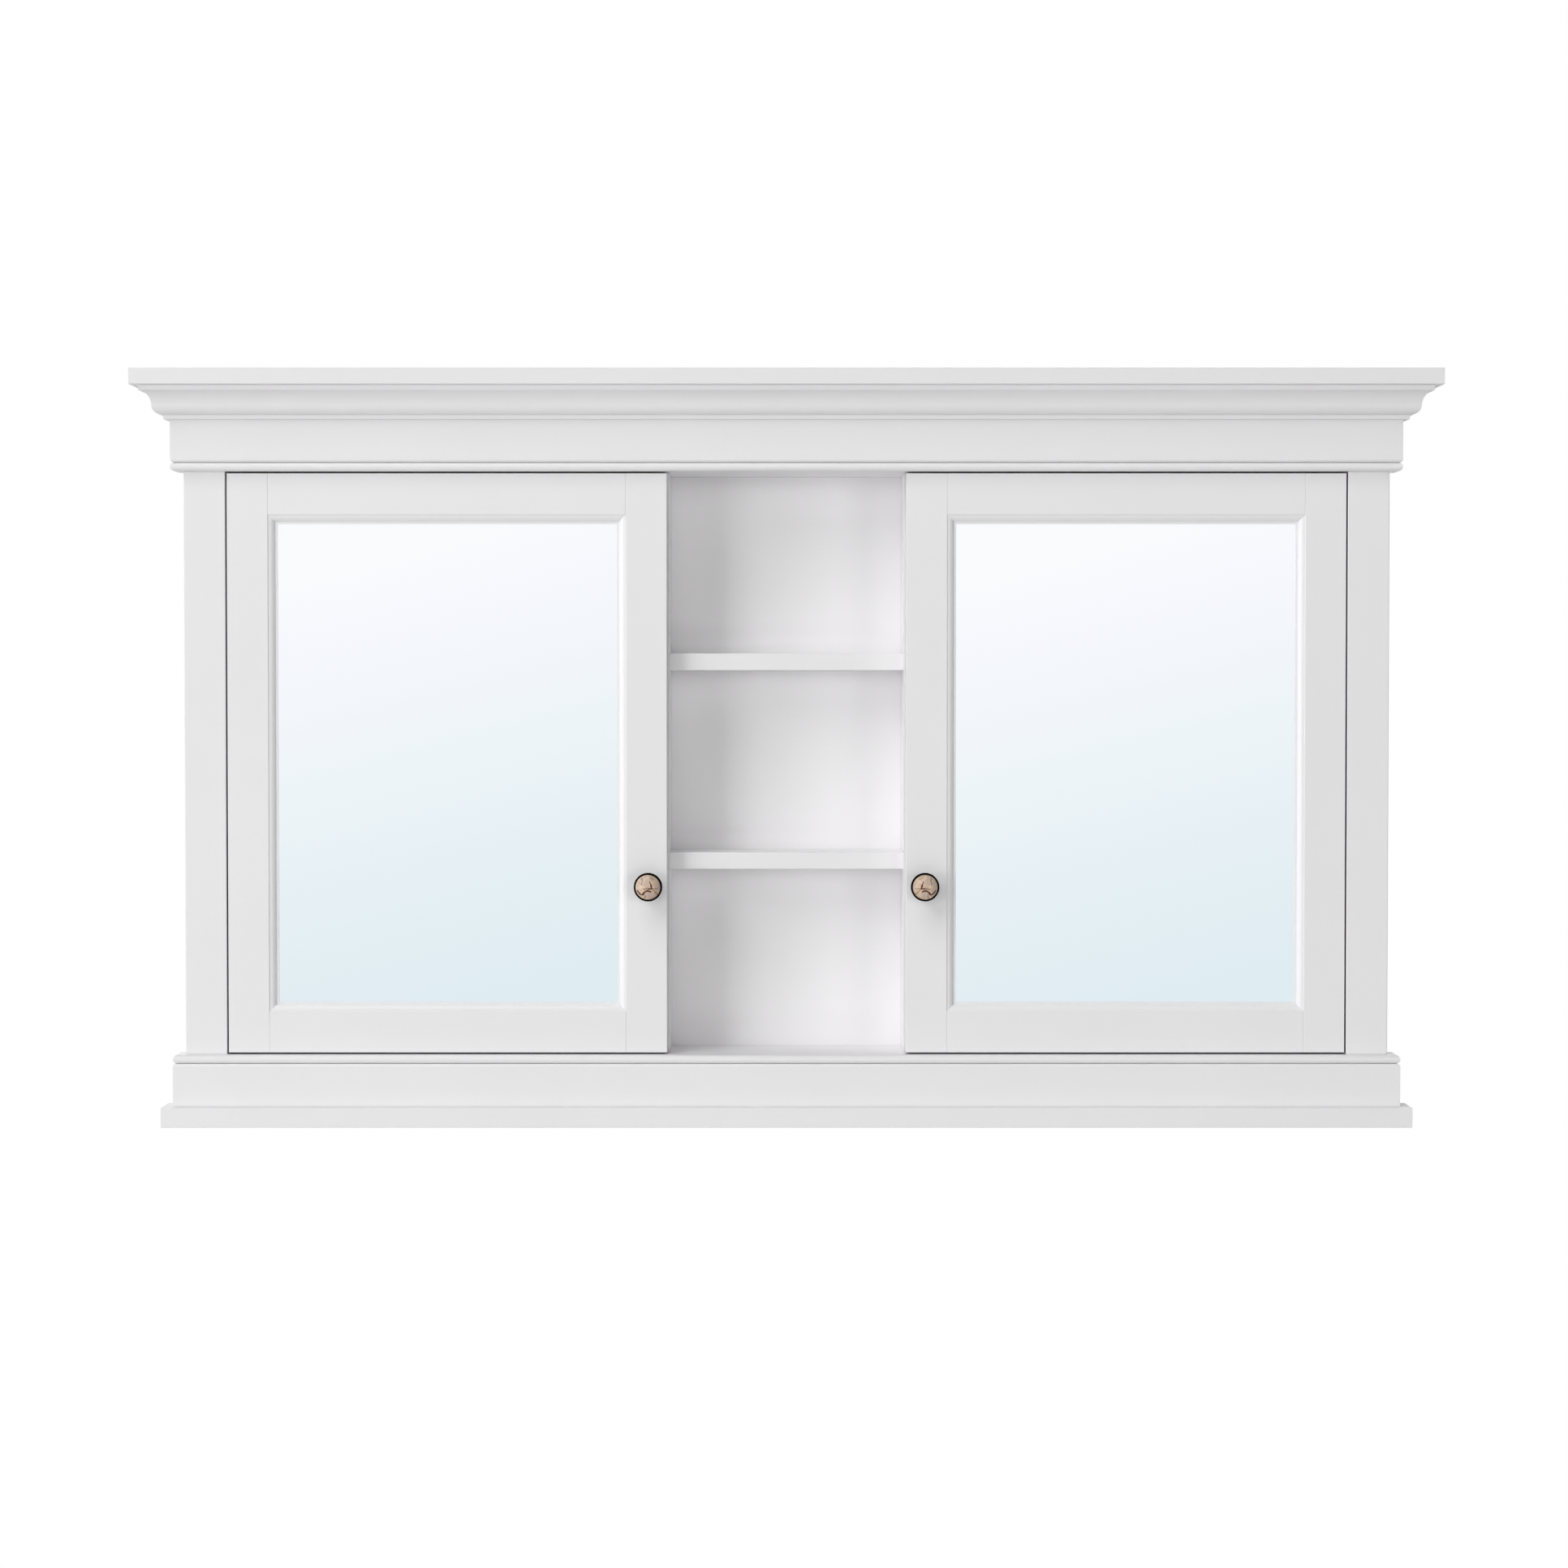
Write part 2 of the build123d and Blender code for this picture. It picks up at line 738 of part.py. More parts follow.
with BuildPart() as hinge_arms:
    foot_face = opening_half_width - arm_foot_thickness
    tip_x = opening_half_width - arm_reach
    tail_x = opening_half_width - arm_tail_reach
    for height in (hinge_height, -hinge_height):
        board(
            (foot_face, opening_half_width),
            arm_y,
            (height - arm_foot_width / 2, height + arm_foot_width / 2),
        )
        with BuildSketch(Plane.XY.offset(height - arm_outside)):
            with BuildLine():
                Polyline(
                    (foot_face, arm_y[0]),
                    (tip_x, arm_y[0]),
                    (tip_x, arm_y[1] - arm_slope),
                    (tail_x, arm_y[1]),
                    (foot_face, arm_y[1]),
                    close=True,
                )
            make_face()
        extrude(amount=2 * arm_outside)
        board(
            (tip_x, foot_face - arm_sheet),
            arm_y,
            (height - arm_inside, height + arm_inside),
            mode=Mode.SUBTRACT,
        )
save_pair(hinge_arms, "hinge_arms")
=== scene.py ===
import json
from math import atan, pi, radians

import bmesh
import bpy
from mathutils import Matrix, Vector

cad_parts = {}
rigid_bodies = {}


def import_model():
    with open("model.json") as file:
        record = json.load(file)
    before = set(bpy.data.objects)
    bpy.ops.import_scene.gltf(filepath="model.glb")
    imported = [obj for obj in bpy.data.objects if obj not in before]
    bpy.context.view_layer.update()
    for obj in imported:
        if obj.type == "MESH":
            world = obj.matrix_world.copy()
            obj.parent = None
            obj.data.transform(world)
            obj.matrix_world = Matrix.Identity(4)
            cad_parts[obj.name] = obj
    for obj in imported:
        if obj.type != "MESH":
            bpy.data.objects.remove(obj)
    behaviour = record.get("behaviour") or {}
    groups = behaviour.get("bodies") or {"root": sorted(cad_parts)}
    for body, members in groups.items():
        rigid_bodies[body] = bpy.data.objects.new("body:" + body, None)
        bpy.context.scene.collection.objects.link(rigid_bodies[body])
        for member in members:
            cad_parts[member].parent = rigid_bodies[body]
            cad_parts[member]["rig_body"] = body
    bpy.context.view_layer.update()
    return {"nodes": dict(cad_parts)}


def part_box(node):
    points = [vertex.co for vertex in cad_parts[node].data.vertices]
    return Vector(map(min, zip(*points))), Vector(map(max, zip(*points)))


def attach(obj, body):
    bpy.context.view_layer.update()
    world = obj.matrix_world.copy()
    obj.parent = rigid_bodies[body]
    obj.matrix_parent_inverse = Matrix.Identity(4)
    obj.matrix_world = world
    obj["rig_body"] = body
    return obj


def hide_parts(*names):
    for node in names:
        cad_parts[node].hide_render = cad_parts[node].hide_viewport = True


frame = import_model()
scene = bpy.context.scene
scene.view_settings.view_transform = "Standard"
print("cabinet frame loaded,", len(frame["nodes"]), "nodes")


# 0 to 255 as a screen shows it, turned into the linear colour a shader works in
def screenColour(red, green, blue):
    values = []
    for value in (red / 255, green / 255, blue / 255):
        values.append(value / 12.92 if value <= 0.04045 else ((value + 0.055) / 1.055) ** 2.4)
    return (*values, 1)


# inputs takes a value or a socket to link for each named or numbered socket
def addNode(tree, kind, inputs=None, **settings):
    node = tree.nodes.new(kind)
    for key, value in settings.items():
        setattr(node, key, value)
    for key, value in (inputs or {}).items():
        if isinstance(value, bpy.types.NodeSocket):
            tree.links.new(value, node.inputs[key])
        else:
            node.inputs[key].default_value = value
    return node


# The usual nodes, each given back as the socket that carries its result
def objectPlace(tree):
    return addNode(tree, "ShaderNodeTexCoord").outputs["Object"]


def noise(tree, where, **inputs):
    return addNode(tree, "ShaderNodeTexNoise", {"Vector": where, **inputs}).outputs["Fac"]


def maths(tree, operation, *values, **settings):
    node = addNode(tree, "ShaderNodeMath", dict(enumerate(values)), operation=operation, **settings)
    return node.outputs[0]


def vectorMaths(tree, operation, *values):
    result = "Value" if operation in ("DOT_PRODUCT", "DISTANCE") else "Vector"
    return addNode(tree, "ShaderNodeVectorMath", dict(enumerate(values)), operation=operation).outputs[result]


def scaled(tree, vector, factor):
    return addNode(tree, "ShaderNodeVectorMath", {0: vector, "Scale": factor}, operation="SCALE").outputs[0]


def remapped(tree, value, low, high, toLow=0.0, toHigh=1.0, **settings):
    inputs = {"Value": value, 1: low, 2: high, 3: toLow, 4: toHigh}
    return addNode(tree, "ShaderNodeMapRange", inputs, **settings).outputs[0]


def bumped(tree, height, strength, distance):
    inputs = {"Height": height, "Strength": strength, "Distance": distance}
    return addNode(tree, "ShaderNodeBump", inputs).outputs[0]


def colourRamp(tree, factor, stops):
    ramp = addNode(tree, "ShaderNodeValToRGB", {"Fac": factor})
    for _ in range(len(stops) - 2):
        ramp.color_ramp.elements.new(0.5)
    for element, (position, colour) in zip(ramp.color_ramp.elements, stops):
        element.position = position
        element.color = colour
    return ramp.outputs["Color"]


def mixColour(tree, factor, first, second):
    return addNode(tree, "ShaderNodeMix", {0: factor, 6: first, 7: second}, data_type="RGBA").outputs[2]


def newGroup(name, inputs, outputs):
    group = bpy.data.node_groups.new(name, "ShaderNodeTree")
    for label, kind, value in inputs:
        socket = group.interface.new_socket(name=label, in_out="INPUT", socket_type=kind)
        socket.default_value = value
    for label, kind in outputs:
        group.interface.new_socket(name=label, in_out="OUTPUT", socket_type=kind)
    return group, group.nodes.new("NodeGroupInput").outputs, group.nodes.new("NodeGroupOutput").inputs


def newMaterial(name, **constants):
    material = bpy.data.materials.new(name)
    material.use_nodes = True
    tree = material.node_tree
    shader = tree.nodes["Principled BSDF"]
    for label, value in constants.items():
        shader.inputs[label.replace("_", " ")].default_value = value
    return material, tree, shader.inputs


skinOutputs = [
    ("Colour", "NodeSocketColor"),
    ("Roughness", "NodeSocketFloat"),
    ("Height", "NodeSocketFloat"),
]


# Sprayed paint: a faint unevenness in the white and an orange peel about a millimetre across
def sprayedPaintGroup():
    group, given, out = newGroup(
        "sprayed paint",
        [
            ("Colour", "NodeSocketColor", (0.8, 0.8, 0.8, 1)),
            ("Unevenness", "NodeSocketFloat", 0.02),
            ("Gloss Low", "NodeSocketFloat", 0.3),
            ("Gloss High", "NodeSocketFloat", 0.4),
        ],
        skinOutputs,
    )
    where = objectPlace(group)
    cloud = noise(group, where, Scale=9, Detail=3, Roughness=0.6)
    peel = noise(group, where, Scale=800, Detail=2, Roughness=0.5)
    speck = noise(group, where, Scale=260, Detail=4, Roughness=0.7)
    shift = remapped(group, cloud, 0.3, 0.7, -0.5, 0.5)
    fine = remapped(group, speck, 0.25, 0.75, -0.35, 0.35)
    both = maths(group, "ADD", shift, fine)
    amount = maths(group, "MULTIPLY", both, given["Unevenness"])
    gain = maths(group, "ADD", amount, 1.0)
    tint = scaled(group, given["Colour"], gain)
    gloss = remapped(group, cloud, 0.3, 0.7, given["Gloss Low"], given["Gloss High"])
    group.links.new(tint, out["Colour"])
    group.links.new(gloss, out["Roughness"])
    group.links.new(peel, out["Height"])
    return group


# Plated or bronzed metal: cloudy tarnish over fine drawn lines
def metalSkinGroup():
    group, given, out = newGroup(
        "metal skin",
        [
            ("Colour", "NodeSocketColor", (0.6, 0.6, 0.6, 1)),
            ("Tarnish Colour", "NodeSocketColor", (0.3, 0.3, 0.3, 1)),
            ("Tarnish", "NodeSocketFloat", 0.2),
            ("Polish", "NodeSocketFloat", 0.2),
            ("Line Scale", "NodeSocketVector", (200, 200, 2500)),
        ],
        skinOutputs,
    )
    where = objectPlace(group)
    stretched = vectorMaths(group, "MULTIPLY", where, given["Line Scale"])
    lines = noise(group, stretched, Scale=1, Detail=3)
    cloud = noise(group, where, Scale=120, Detail=5, Roughness=0.65)
    patch = remapped(group, cloud, 0.42, 0.68)
    mask = maths(group, "MULTIPLY", patch, given["Tarnish"])
    colour = mixColour(group, mask, given["Colour"], given["Tarnish Colour"])
    lift = remapped(group, lines, 0.3, 0.7, -0.05, 0.07)
    rough = maths(group, "ADD", lift, given["Polish"])
    dulled = maths(group, "MULTIPLY_ADD", mask, 0.25, rough, use_clamp=True)
    group.links.new(colour, out["Colour"])
    group.links.new(dulled, out["Roughness"])
    group.links.new(lines, out["Height"])
    return group


veinPeak = 1.8


# One vein of the stone: a mask along the line between two points, over 1 in its core
def stoneVeinGroup():
    group, given, out = newGroup(
        "stone vein",
        [
            ("Vector", "NodeSocketVector", (0, 0, 0)),
            ("Start", "NodeSocketVector", (0, 0, 0)),
            ("End", "NodeSocketVector", (1, 0, 0)),
            ("Width", "NodeSocketFloat", 0.5),
        ],
        [("Mask", "NodeSocketFloat")],
    )
    along = vectorMaths(group, "SUBTRACT", given["End"], given["Start"])
    away = vectorMaths(group, "SUBTRACT", given["Vector"], given["Start"])
    reach = vectorMaths(group, "DOT_PRODUCT", away, along)
    square = vectorMaths(group, "DOT_PRODUCT", along, along)
    share = maths(group, "DIVIDE", reach, square, use_clamp=True)
    foot = scaled(group, along, share)
    gap = vectorMaths(group, "DISTANCE", away, foot)
    mask = remapped(group, gap, 0, given["Width"], veinPeak, 0, interpolation_type="SMOOTHSTEP")
    group.links.new(mask, out["Mask"])
    return group


sprayedPaint = sprayedPaintGroup()
metalSkin = metalSkinGroup()
stoneVein = stoneVeinGroup()


paint = {
    "cabinet": screenColour(240, 239, 240),
    "door": screenColour(240, 239, 240),
    "unevenness": 0.012,
    "glossLow": 0.36,
    "glossHigh": 0.42,
    "peelHeight": 0.00002,
    # the shade deep in the gaps round the doors, and the fainter one along joints and inner corners
    "shade": screenColour(46, 44, 44),
    "shadeSamples": 8,
    "gapReach": 0.008,
    "gapOpenness": (0.02, 0.18),
    "gapShade": 0.95,
    "lineReach": 0.0015,
    "lineOpenness": (0.3, 0.85),
    "lineShade": 0.24,
}


# Shade for the paint that other surfaces close in within reach: most where openness is least
def closedIn(tree, reach, openness, most, **settings):
    occlusion = addNode(
        tree, "ShaderNodeAmbientOcclusion", {"Distance": reach}, samples=paint["shadeSamples"]
    )
    return remapped(tree, occlusion.outputs["AO"], *openness, most, 0.0, **settings)


def paintMaterial(name, colour):
    material, tree, shader = newMaterial(name)
    skin = addNode(
        tree,
        "ShaderNodeGroup",
        {
            "Colour": colour,
            "Unevenness": paint["unevenness"],
            "Gloss Low": paint["glossLow"],
            "Gloss High": paint["glossHigh"],
        },
        node_tree=sprayedPaint,
    )
    smooth = {"interpolation_type": "SMOOTHSTEP"}
    gap = closedIn(tree, paint["gapReach"], paint["gapOpenness"], paint["gapShade"], **smooth)
    line = closedIn(tree, paint["lineReach"], paint["lineOpenness"], paint["lineShade"])
    shaded = maths(tree, "MAXIMUM", gap, line)
    colour = mixColour(tree, shaded, skin.outputs["Colour"], paint["shade"])
    bump = bumped(tree, skin.outputs["Height"], 0.5, paint["peelHeight"])
    tree.links.new(colour, shader["Base Color"])
    tree.links.new(skin.outputs["Roughness"], shader["Roughness"])
    tree.links.new(bump, shader["Normal"])
    return material


# Painted reflection: the silvering's colour is that of a pale, slightly blue room as it would show in it,
# white above, cooler below, on a slight slant
mirrorPaintedReflection = {
    "slant": 0.26,
    "top": 0.21,
    "bottom": -0.225,
    "rough": (0.005, 0.02),
    "stops": [
        (0.00, screenColour(223, 236, 242)),
        (0.17, screenColour(227, 238, 243)),
        (0.34, screenColour(231, 240, 245)),
        (0.51, screenColour(236, 244, 247)),
        (0.68, screenColour(242, 245, 250)),
        (0.85, screenColour(246, 248, 253)),
        (1.00, screenColour(250, 251, 253)),
    ],
}


def mirrorMaterial(name, node):
    low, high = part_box(node)
    middle = (low + high) / 2
    material, tree, shader = newMaterial(name, Metallic=1.0)
    where = objectPlace(tree)
    turned = addNode(
        tree,
        "ShaderNodeMapping",
        {"Vector": where, "Location": middle, "Rotation": (0, -atan(mirrorPaintedReflection["slant"]), 0)},
        vector_type="TEXTURE",
    )
    height = addNode(tree, "ShaderNodeSeparateXYZ", {0: turned.outputs[0]}).outputs["Z"]
    place = remapped(tree, height, mirrorPaintedReflection["bottom"], mirrorPaintedReflection["top"])
    # painted reflection: the colour runs from the cool bottom of the glass to its white top
    tint = colourRamp(tree, place, mirrorPaintedReflection["stops"])
    haze = noise(tree, where, Scale=14, Detail=4)
    rough = remapped(tree, haze, 0.3, 0.7, *mirrorPaintedReflection["rough"])
    tree.links.new(tint, shader["Base Color"])
    tree.links.new(rough, shader["Roughness"])
    return material


hardboard = {
    "face": screenColour(150, 114, 80),
    "fleck": screenColour(104, 74, 48),
    "patches": 0.3,
    "rough": (0.75, 0.9),
}


def hardboardMaterial():
    material, tree, shader = newMaterial("hardboard")
    where = objectPlace(tree)
    fibre = noise(tree, where, Scale=420, Detail=6, Roughness=0.7)
    cloud = noise(tree, where, Scale=18, Detail=3)
    mesh = addNode(tree, "ShaderNodeTexVoronoi", {"Vector": where, "Scale": 650})
    fleck = remapped(tree, fibre, 0.35, 0.7)
    board = mixColour(tree, fleck, hardboard["face"], hardboard["fleck"])
    shade = remapped(tree, cloud, 0.3, 0.7, 0.0, hardboard["patches"])
    board = mixColour(tree, shade, board, hardboard["fleck"])
    bump = bumped(tree, mesh.outputs["Distance"], 0.4, 0.0002)
    rough = remapped(tree, fibre, 0, 1, *hardboard["rough"])
    tree.links.new(board, shader["Base Color"])
    tree.links.new(rough, shader["Roughness"])
    tree.links.new(bump, shader["Normal"])
    return material


metals = {
    "bronze": {
        "colour": screenColour(18, 12, 8),
        "tarnishColour": screenColour(8, 5, 4),
        "edgeTint": (0.05, 0.04, 0.03, 1),
        "tarnish": 0.8,
        "polish": 0.3,
        "lines": (300, 300, 300),
    },
    "nickel": {
        "colour": screenColour(214, 213, 208),
        "tarnishColour": screenColour(160, 157, 150),
        "edgeTint": (1, 1, 1, 1),
        "tarnish": 0.35,
        "polish": 0.22,
        "lines": (250, 2400, 250),
    },
    "steel": {
        "colour": screenColour(196, 197, 199),
        "tarnishColour": screenColour(140, 141, 143),
        "edgeTint": (1, 1, 1, 1),
        "tarnish": 0.3,
        "polish": 0.25,
        "lines": (1800, 1800, 200),
    },
}


def metalMaterial(name):
    values = metals[name]
    material, tree, shader = newMaterial(name, Metallic=1.0, Specular_Tint=values["edgeTint"])
    skin = addNode(
        tree,
        "ShaderNodeGroup",
        {
            "Colour": values["colour"],
            "Tarnish Colour": values["tarnishColour"],
            "Tarnish": values["tarnish"],
            "Polish": values["polish"],
            "Line Scale": values["lines"],
        },
        node_tree=metalSkin,
    )
    bump = bumped(tree, skin.outputs["Height"], 0.2, 0.00005)
    tree.links.new(skin.outputs["Colour"], shader["Base Color"])
    tree.links.new(skin.outputs["Roughness"], shader["Roughness"])
    tree.links.new(bump, shader["Normal"])
    return material


bumper = {
    "colour": screenColour(226, 226, 222),
    "cloud": screenColour(206, 206, 202),
    "rough": (0.25, 0.4),
}


def bumperMaterial():
    material, tree, shader = newMaterial("bumper", Transmission_Weight=0.35, IOR=1.45)
    where = objectPlace(tree)
    cloud = noise(tree, where, Scale=500, Detail=3)
    colour = mixColour(tree, cloud, bumper["colour"], bumper["cloud"])
    rough = remapped(tree, cloud, 0, 1, *bumper["rough"])
    tree.links.new(colour, shader["Base Color"])
    tree.links.new(rough, shader["Roughness"])
    return material


# Veins of the left knob's stone in millimetres from its middle: x, z of both ends, and half the width
stone = {
    "cream": screenColour(210, 182, 154),
    "pale": screenColour(228, 212, 192),
    "grey": screenColour(196, 180, 178),
    "ochre": screenColour(190, 158, 90),
    "rust": screenColour(172, 102, 44),
    "brown": screenColour(52, 18, 2),
    "faintBrown": screenColour(128, 86, 44),
    "widen": 1.4,
    "waver": 2.2,
    "faintness": 0.42,
    "darkVeins": [
        ((-4.9, -6.7), (-2.9, -4.3), 1.1),
        ((-2.9, -4.3), (-0.5, -2.9), 1.0),
        ((-0.5, -2.9), (2.7, -3.9), 0.9),
        ((0.7, -1.2), (3.8, -0.9), 0.75),
        ((3.8, -0.9), (3.0, 2.1), 0.8),
        ((3.0, 2.1), (2.0, 5.2), 0.65),
        ((-9.6, -3.2), (-7.2, -6.0), 0.9),
        ((-7.2, -6.0), (-4.9, -6.9), 0.8),
    ],
    "faintVeins": [
        ((-5.5, 8.6), (-5.2, 4.8), 0.7),
        ((-5.2, 4.8), (-5.6, 2.6), 0.6),
        ((4.2, -1.2), (9.2, -0.6), 0.6),
        ((4.8, -2.3), (9.0, -6.2), 0.7),
        ((-4.0, -2.0), (-0.5, -0.6), 0.9),
        ((-3.2, -10.0), (-2.0, -7.8), 0.7),
        ((2.6, 8.6), (5.4, 7.4), 0.6),
    ],
}


def stoneMaterial(name, middle, flip):
    material, tree, shader = newMaterial(name, Coat_Weight=0.12, Coat_Roughness=0.08, Specular_IOR_Level=0.3)
    where = objectPlace(tree)
    placed = addNode(
        tree,
        "ShaderNodeMapping",
        {"Vector": where, "Location": middle, "Scale": (flip * 0.001, 0.001, 0.001)},
        vector_type="TEXTURE",
    ).outputs[0]
    drift = addNode(tree, "ShaderNodeTexNoise", {"Vector": placed, "Scale": 0.55, "Detail": 3})
    centred = vectorMaths(tree, "SUBTRACT", drift.outputs["Color"], (0.5, 0.5, 0.5))
    wavered = vectorMaths(tree, "MULTIPLY_ADD", centred, (stone["waver"], 0, stone["waver"]), placed)
    flat = vectorMaths(tree, "MULTIPLY", wavered, (1, 0, 1))

    def veins(lines):
        total = None
        for (startX, startZ), (endX, endZ), width in lines:
            inputs = {
                "Vector": flat,
                "Start": (startX, 0, startZ),
                "End": (endX, 0, endZ),
                "Width": width * stone["widen"],
            }
            mask = addNode(tree, "ShaderNodeGroup", inputs, node_tree=stoneVein).outputs["Mask"]
            total = mask if total is None else maths(tree, "MAXIMUM", total, mask)
        return total

    cloud = noise(tree, placed, Scale=0.28, Detail=5, Roughness=0.6)
    spots = addNode(
        tree,
        "ShaderNodeTexNoise",
        {"Vector": placed, "Scale": 0.42, "Detail": 4, "W": 3.0},
        noise_dimensions="4D",
    ).outputs["Fac"]
    base = colourRamp(
        tree,
        cloud,
        [(0.3, stone["pale"]), (0.46, stone["cream"]), (0.56, stone["grey"]), (0.7, stone["cream"])],
    )
    olive = remapped(tree, spots, 0.54, 0.72, 0, 0.75)
    base = mixColour(tree, olive, base, stone["ochre"])
    faint = maths(tree, "MULTIPLY", veins(stone["faintVeins"]), stone["faintness"])
    base = mixColour(tree, faint, base, stone["faintBrown"])
    dark = veins(stone["darkVeins"])
    halo = remapped(tree, dark, 0.0, 0.9, 0.0, 0.85)
    core = remapped(tree, dark, 0.6, 1.5)
    base = mixColour(tree, halo, base, stone["rust"])
    base = mixColour(tree, core, base, stone["brown"])
    rough = remapped(tree, spots, 0, 1, 0.12, 0.28)
    tree.links.new(base, shader["Base Color"])
    tree.links.new(rough, shader["Roughness"])
    return material


slots = {
    "white_paint": paintMaterial("cabinet paint", paint["cabinet"]),
    "door_paint": paintMaterial("door paint", paint["door"]),
    "hardboard": hardboardMaterial(),
    "bronze": metalMaterial("bronze"),
    "nickel": metalMaterial("nickel"),
    "steel": metalMaterial("steel"),
    "bumper": bumperMaterial(),
}
mirrors = {
    side + "_mirror": mirrorMaterial(side + " mirror glass", side + "_mirror")
    for side in ("left", "right")
}
print("materials made")


knob = {
    "middle": Vector((0.1298, -0.01905, -0.1155)),
    "steps": 40,
    "smoothing": 2,
    # radius and distance from the door's face, in millimetres
    "base": [
        (0, 0), (7.3, 0), (7.5, 0.25), (7.5, 2.1), (7.2, 2.45), (5.6, 2.9), (4.95, 5.0), (4.8, 8.9),
        (5.2, 11.6), (7.2, 13.7), (11.6, 15.0), (13.0, 15.35), (13.4, 15.9), (13.4, 16.9), (13.15, 17.1),
        (13.15, 17.35), (13.4, 17.55), (13.4, 20.0), (13.15, 20.6), (12.6, 20.8), (12.0, 20.62),
        (11.75, 20.2), (11.75, 16.8), (0, 16.8),
    ],
    "stoneRadius": 11.7,
    "domeTop": 27.0,
    "domeFoot": 19.9,
    "stoneSkirt": 3.0,
    "stoneSegments": 64,
    "stoneRings": 48,
}


def finishMesh(name, mesh, material, smooth=True):
    data = bpy.data.meshes.new(name)
    mesh.to_mesh(data)
    mesh.free()
    data.materials.append(material)
    if smooth:
        data.shade_smooth()
    piece = bpy.data.objects.new(name, data)
    scene.collection.objects.link(piece)
    return piece


def openEdges(mesh):
    return [edge for edge in mesh.edges if edge.is_boundary]


def only(kind, items):
    return [item for item in items if isinstance(item, kind)]


def subdivided(piece, levels):
    modifier = piece.modifiers.new("Subdivision", "SUBSURF")
    modifier.levels = levels
    modifier.render_levels = levels


weldReach = 0.00002


# Turns a profile of radius and height once round the given axis, and closes it at the axis
def spunMesh(profile, steps, turn, middle):
    mesh = bmesh.new()
    points = [mesh.verts.new((radius / 1000, 0, height / 1000)) for radius, height in profile]
    edges = [mesh.edges.new(pair) for pair in zip(points, points[1:])]
    bmesh.ops.spin(
        mesh, geom=points + edges, cent=(0, 0, 0), axis=(0, 0, 1), angle=2 * pi, steps=steps, use_merge=True
    )
    bmesh.ops.remove_doubles(mesh, verts=mesh.verts, dist=weldReach)
    bmesh.ops.recalc_face_normals(mesh, faces=mesh.faces)
    bmesh.ops.transform(mesh, matrix=Matrix.Translation(middle) @ turn, verts=mesh.verts)
    return mesh


towardsRoom = Matrix.Rotation(radians(90), 4, "X")   # a profile's height then points to -Y
towardsWall = Matrix.Rotation(radians(-90), 4, "X")


def makeKnob(side, sign):
    middle = Vector((sign * knob["middle"].x, knob["middle"].y, knob["middle"].z))
    base = finishMesh(
        side + "_knob_body", spunMesh(knob["base"], knob["steps"], towardsRoom, middle), slots["bronze"]
    )
    subdivided(base, knob["smoothing"])
    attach(base, side + "_door")
    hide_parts(side + "_knob_base")

    mesh = bmesh.new()
    radius = knob["stoneRadius"] / 1000
    bmesh.ops.create_uvsphere(
        mesh, u_segments=knob["stoneSegments"], v_segments=knob["stoneRings"], radius=radius
    )
    rise = (knob["domeTop"] - knob["domeFoot"]) / knob["stoneRadius"]
    bmesh.ops.scale(mesh, vec=(1, 1, rise), verts=mesh.verts)
    geometry = mesh.verts[:] + mesh.edges[:] + mesh.faces[:]
    bmesh.ops.bisect_plane(mesh, geom=geometry, plane_co=(0, 0, 0), plane_no=(0, 0, 1), clear_inner=True)
    rim = openEdges(mesh)
    skirt = bmesh.ops.extrude_edge_only(mesh, edges=rim)["geom"]
    lowered = only(bmesh.types.BMVert, skirt)
    bmesh.ops.translate(mesh, vec=(0, 0, -knob["stoneSkirt"] / 1000), verts=lowered)
    bmesh.ops.holes_fill(mesh, edges=openEdges(mesh))
    bmesh.ops.recalc_face_normals(mesh, faces=mesh.faces)
    foot = middle + Vector((0, -knob["domeFoot"] / 1000, 0))
    bmesh.ops.transform(mesh, matrix=Matrix.Translation(foot) @ towardsRoom, verts=mesh.verts)
    cabochon = finishMesh(side + "_knob_cabochon", mesh, stoneMaterial(side + " knob stone", middle, -sign))
    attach(cabochon, side + "_door")
    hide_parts(side + "_knob_stone")


for side, sign in (("left", -1), ("right", 1)):
    makeKnob(side, sign)
print("knobs turned")


# Cross-recessed screws: head, rise, shank and length in millimetres
screws = {
    "segments": 24,
    "cup": {"head": 2.9, "rise": 1.3, "shank": 1.5, "length": 3.0},
    "arm": {"head": 2.2, "rise": 1.1, "shank": 1.2, "length": 3.0},
    "knob": {"head": 3.9, "rise": 1.1, "shank": 2.0, "length": 3.0},
    "cupX": 0.508,
    "cupY": 0.00065,
    "cupSpread": 0.019,
    "armX": 0.5235,
    "armY": 0.02545,
    "armSpread": 0.00865,
    "hingeZ": 0.2,
    "doorBack": -0.00055,
    # shares of the head's radius, and of its rise for the slot's depth
    "slotHalfWidth": 0.16,
    "slotArm": 0.42,
    "flatTop": 0.74,
    "slotDepth": 0.75,
    "slotTaper": 0.75,
    "easing": 0.00015,
    "easingSteps": 2,
}


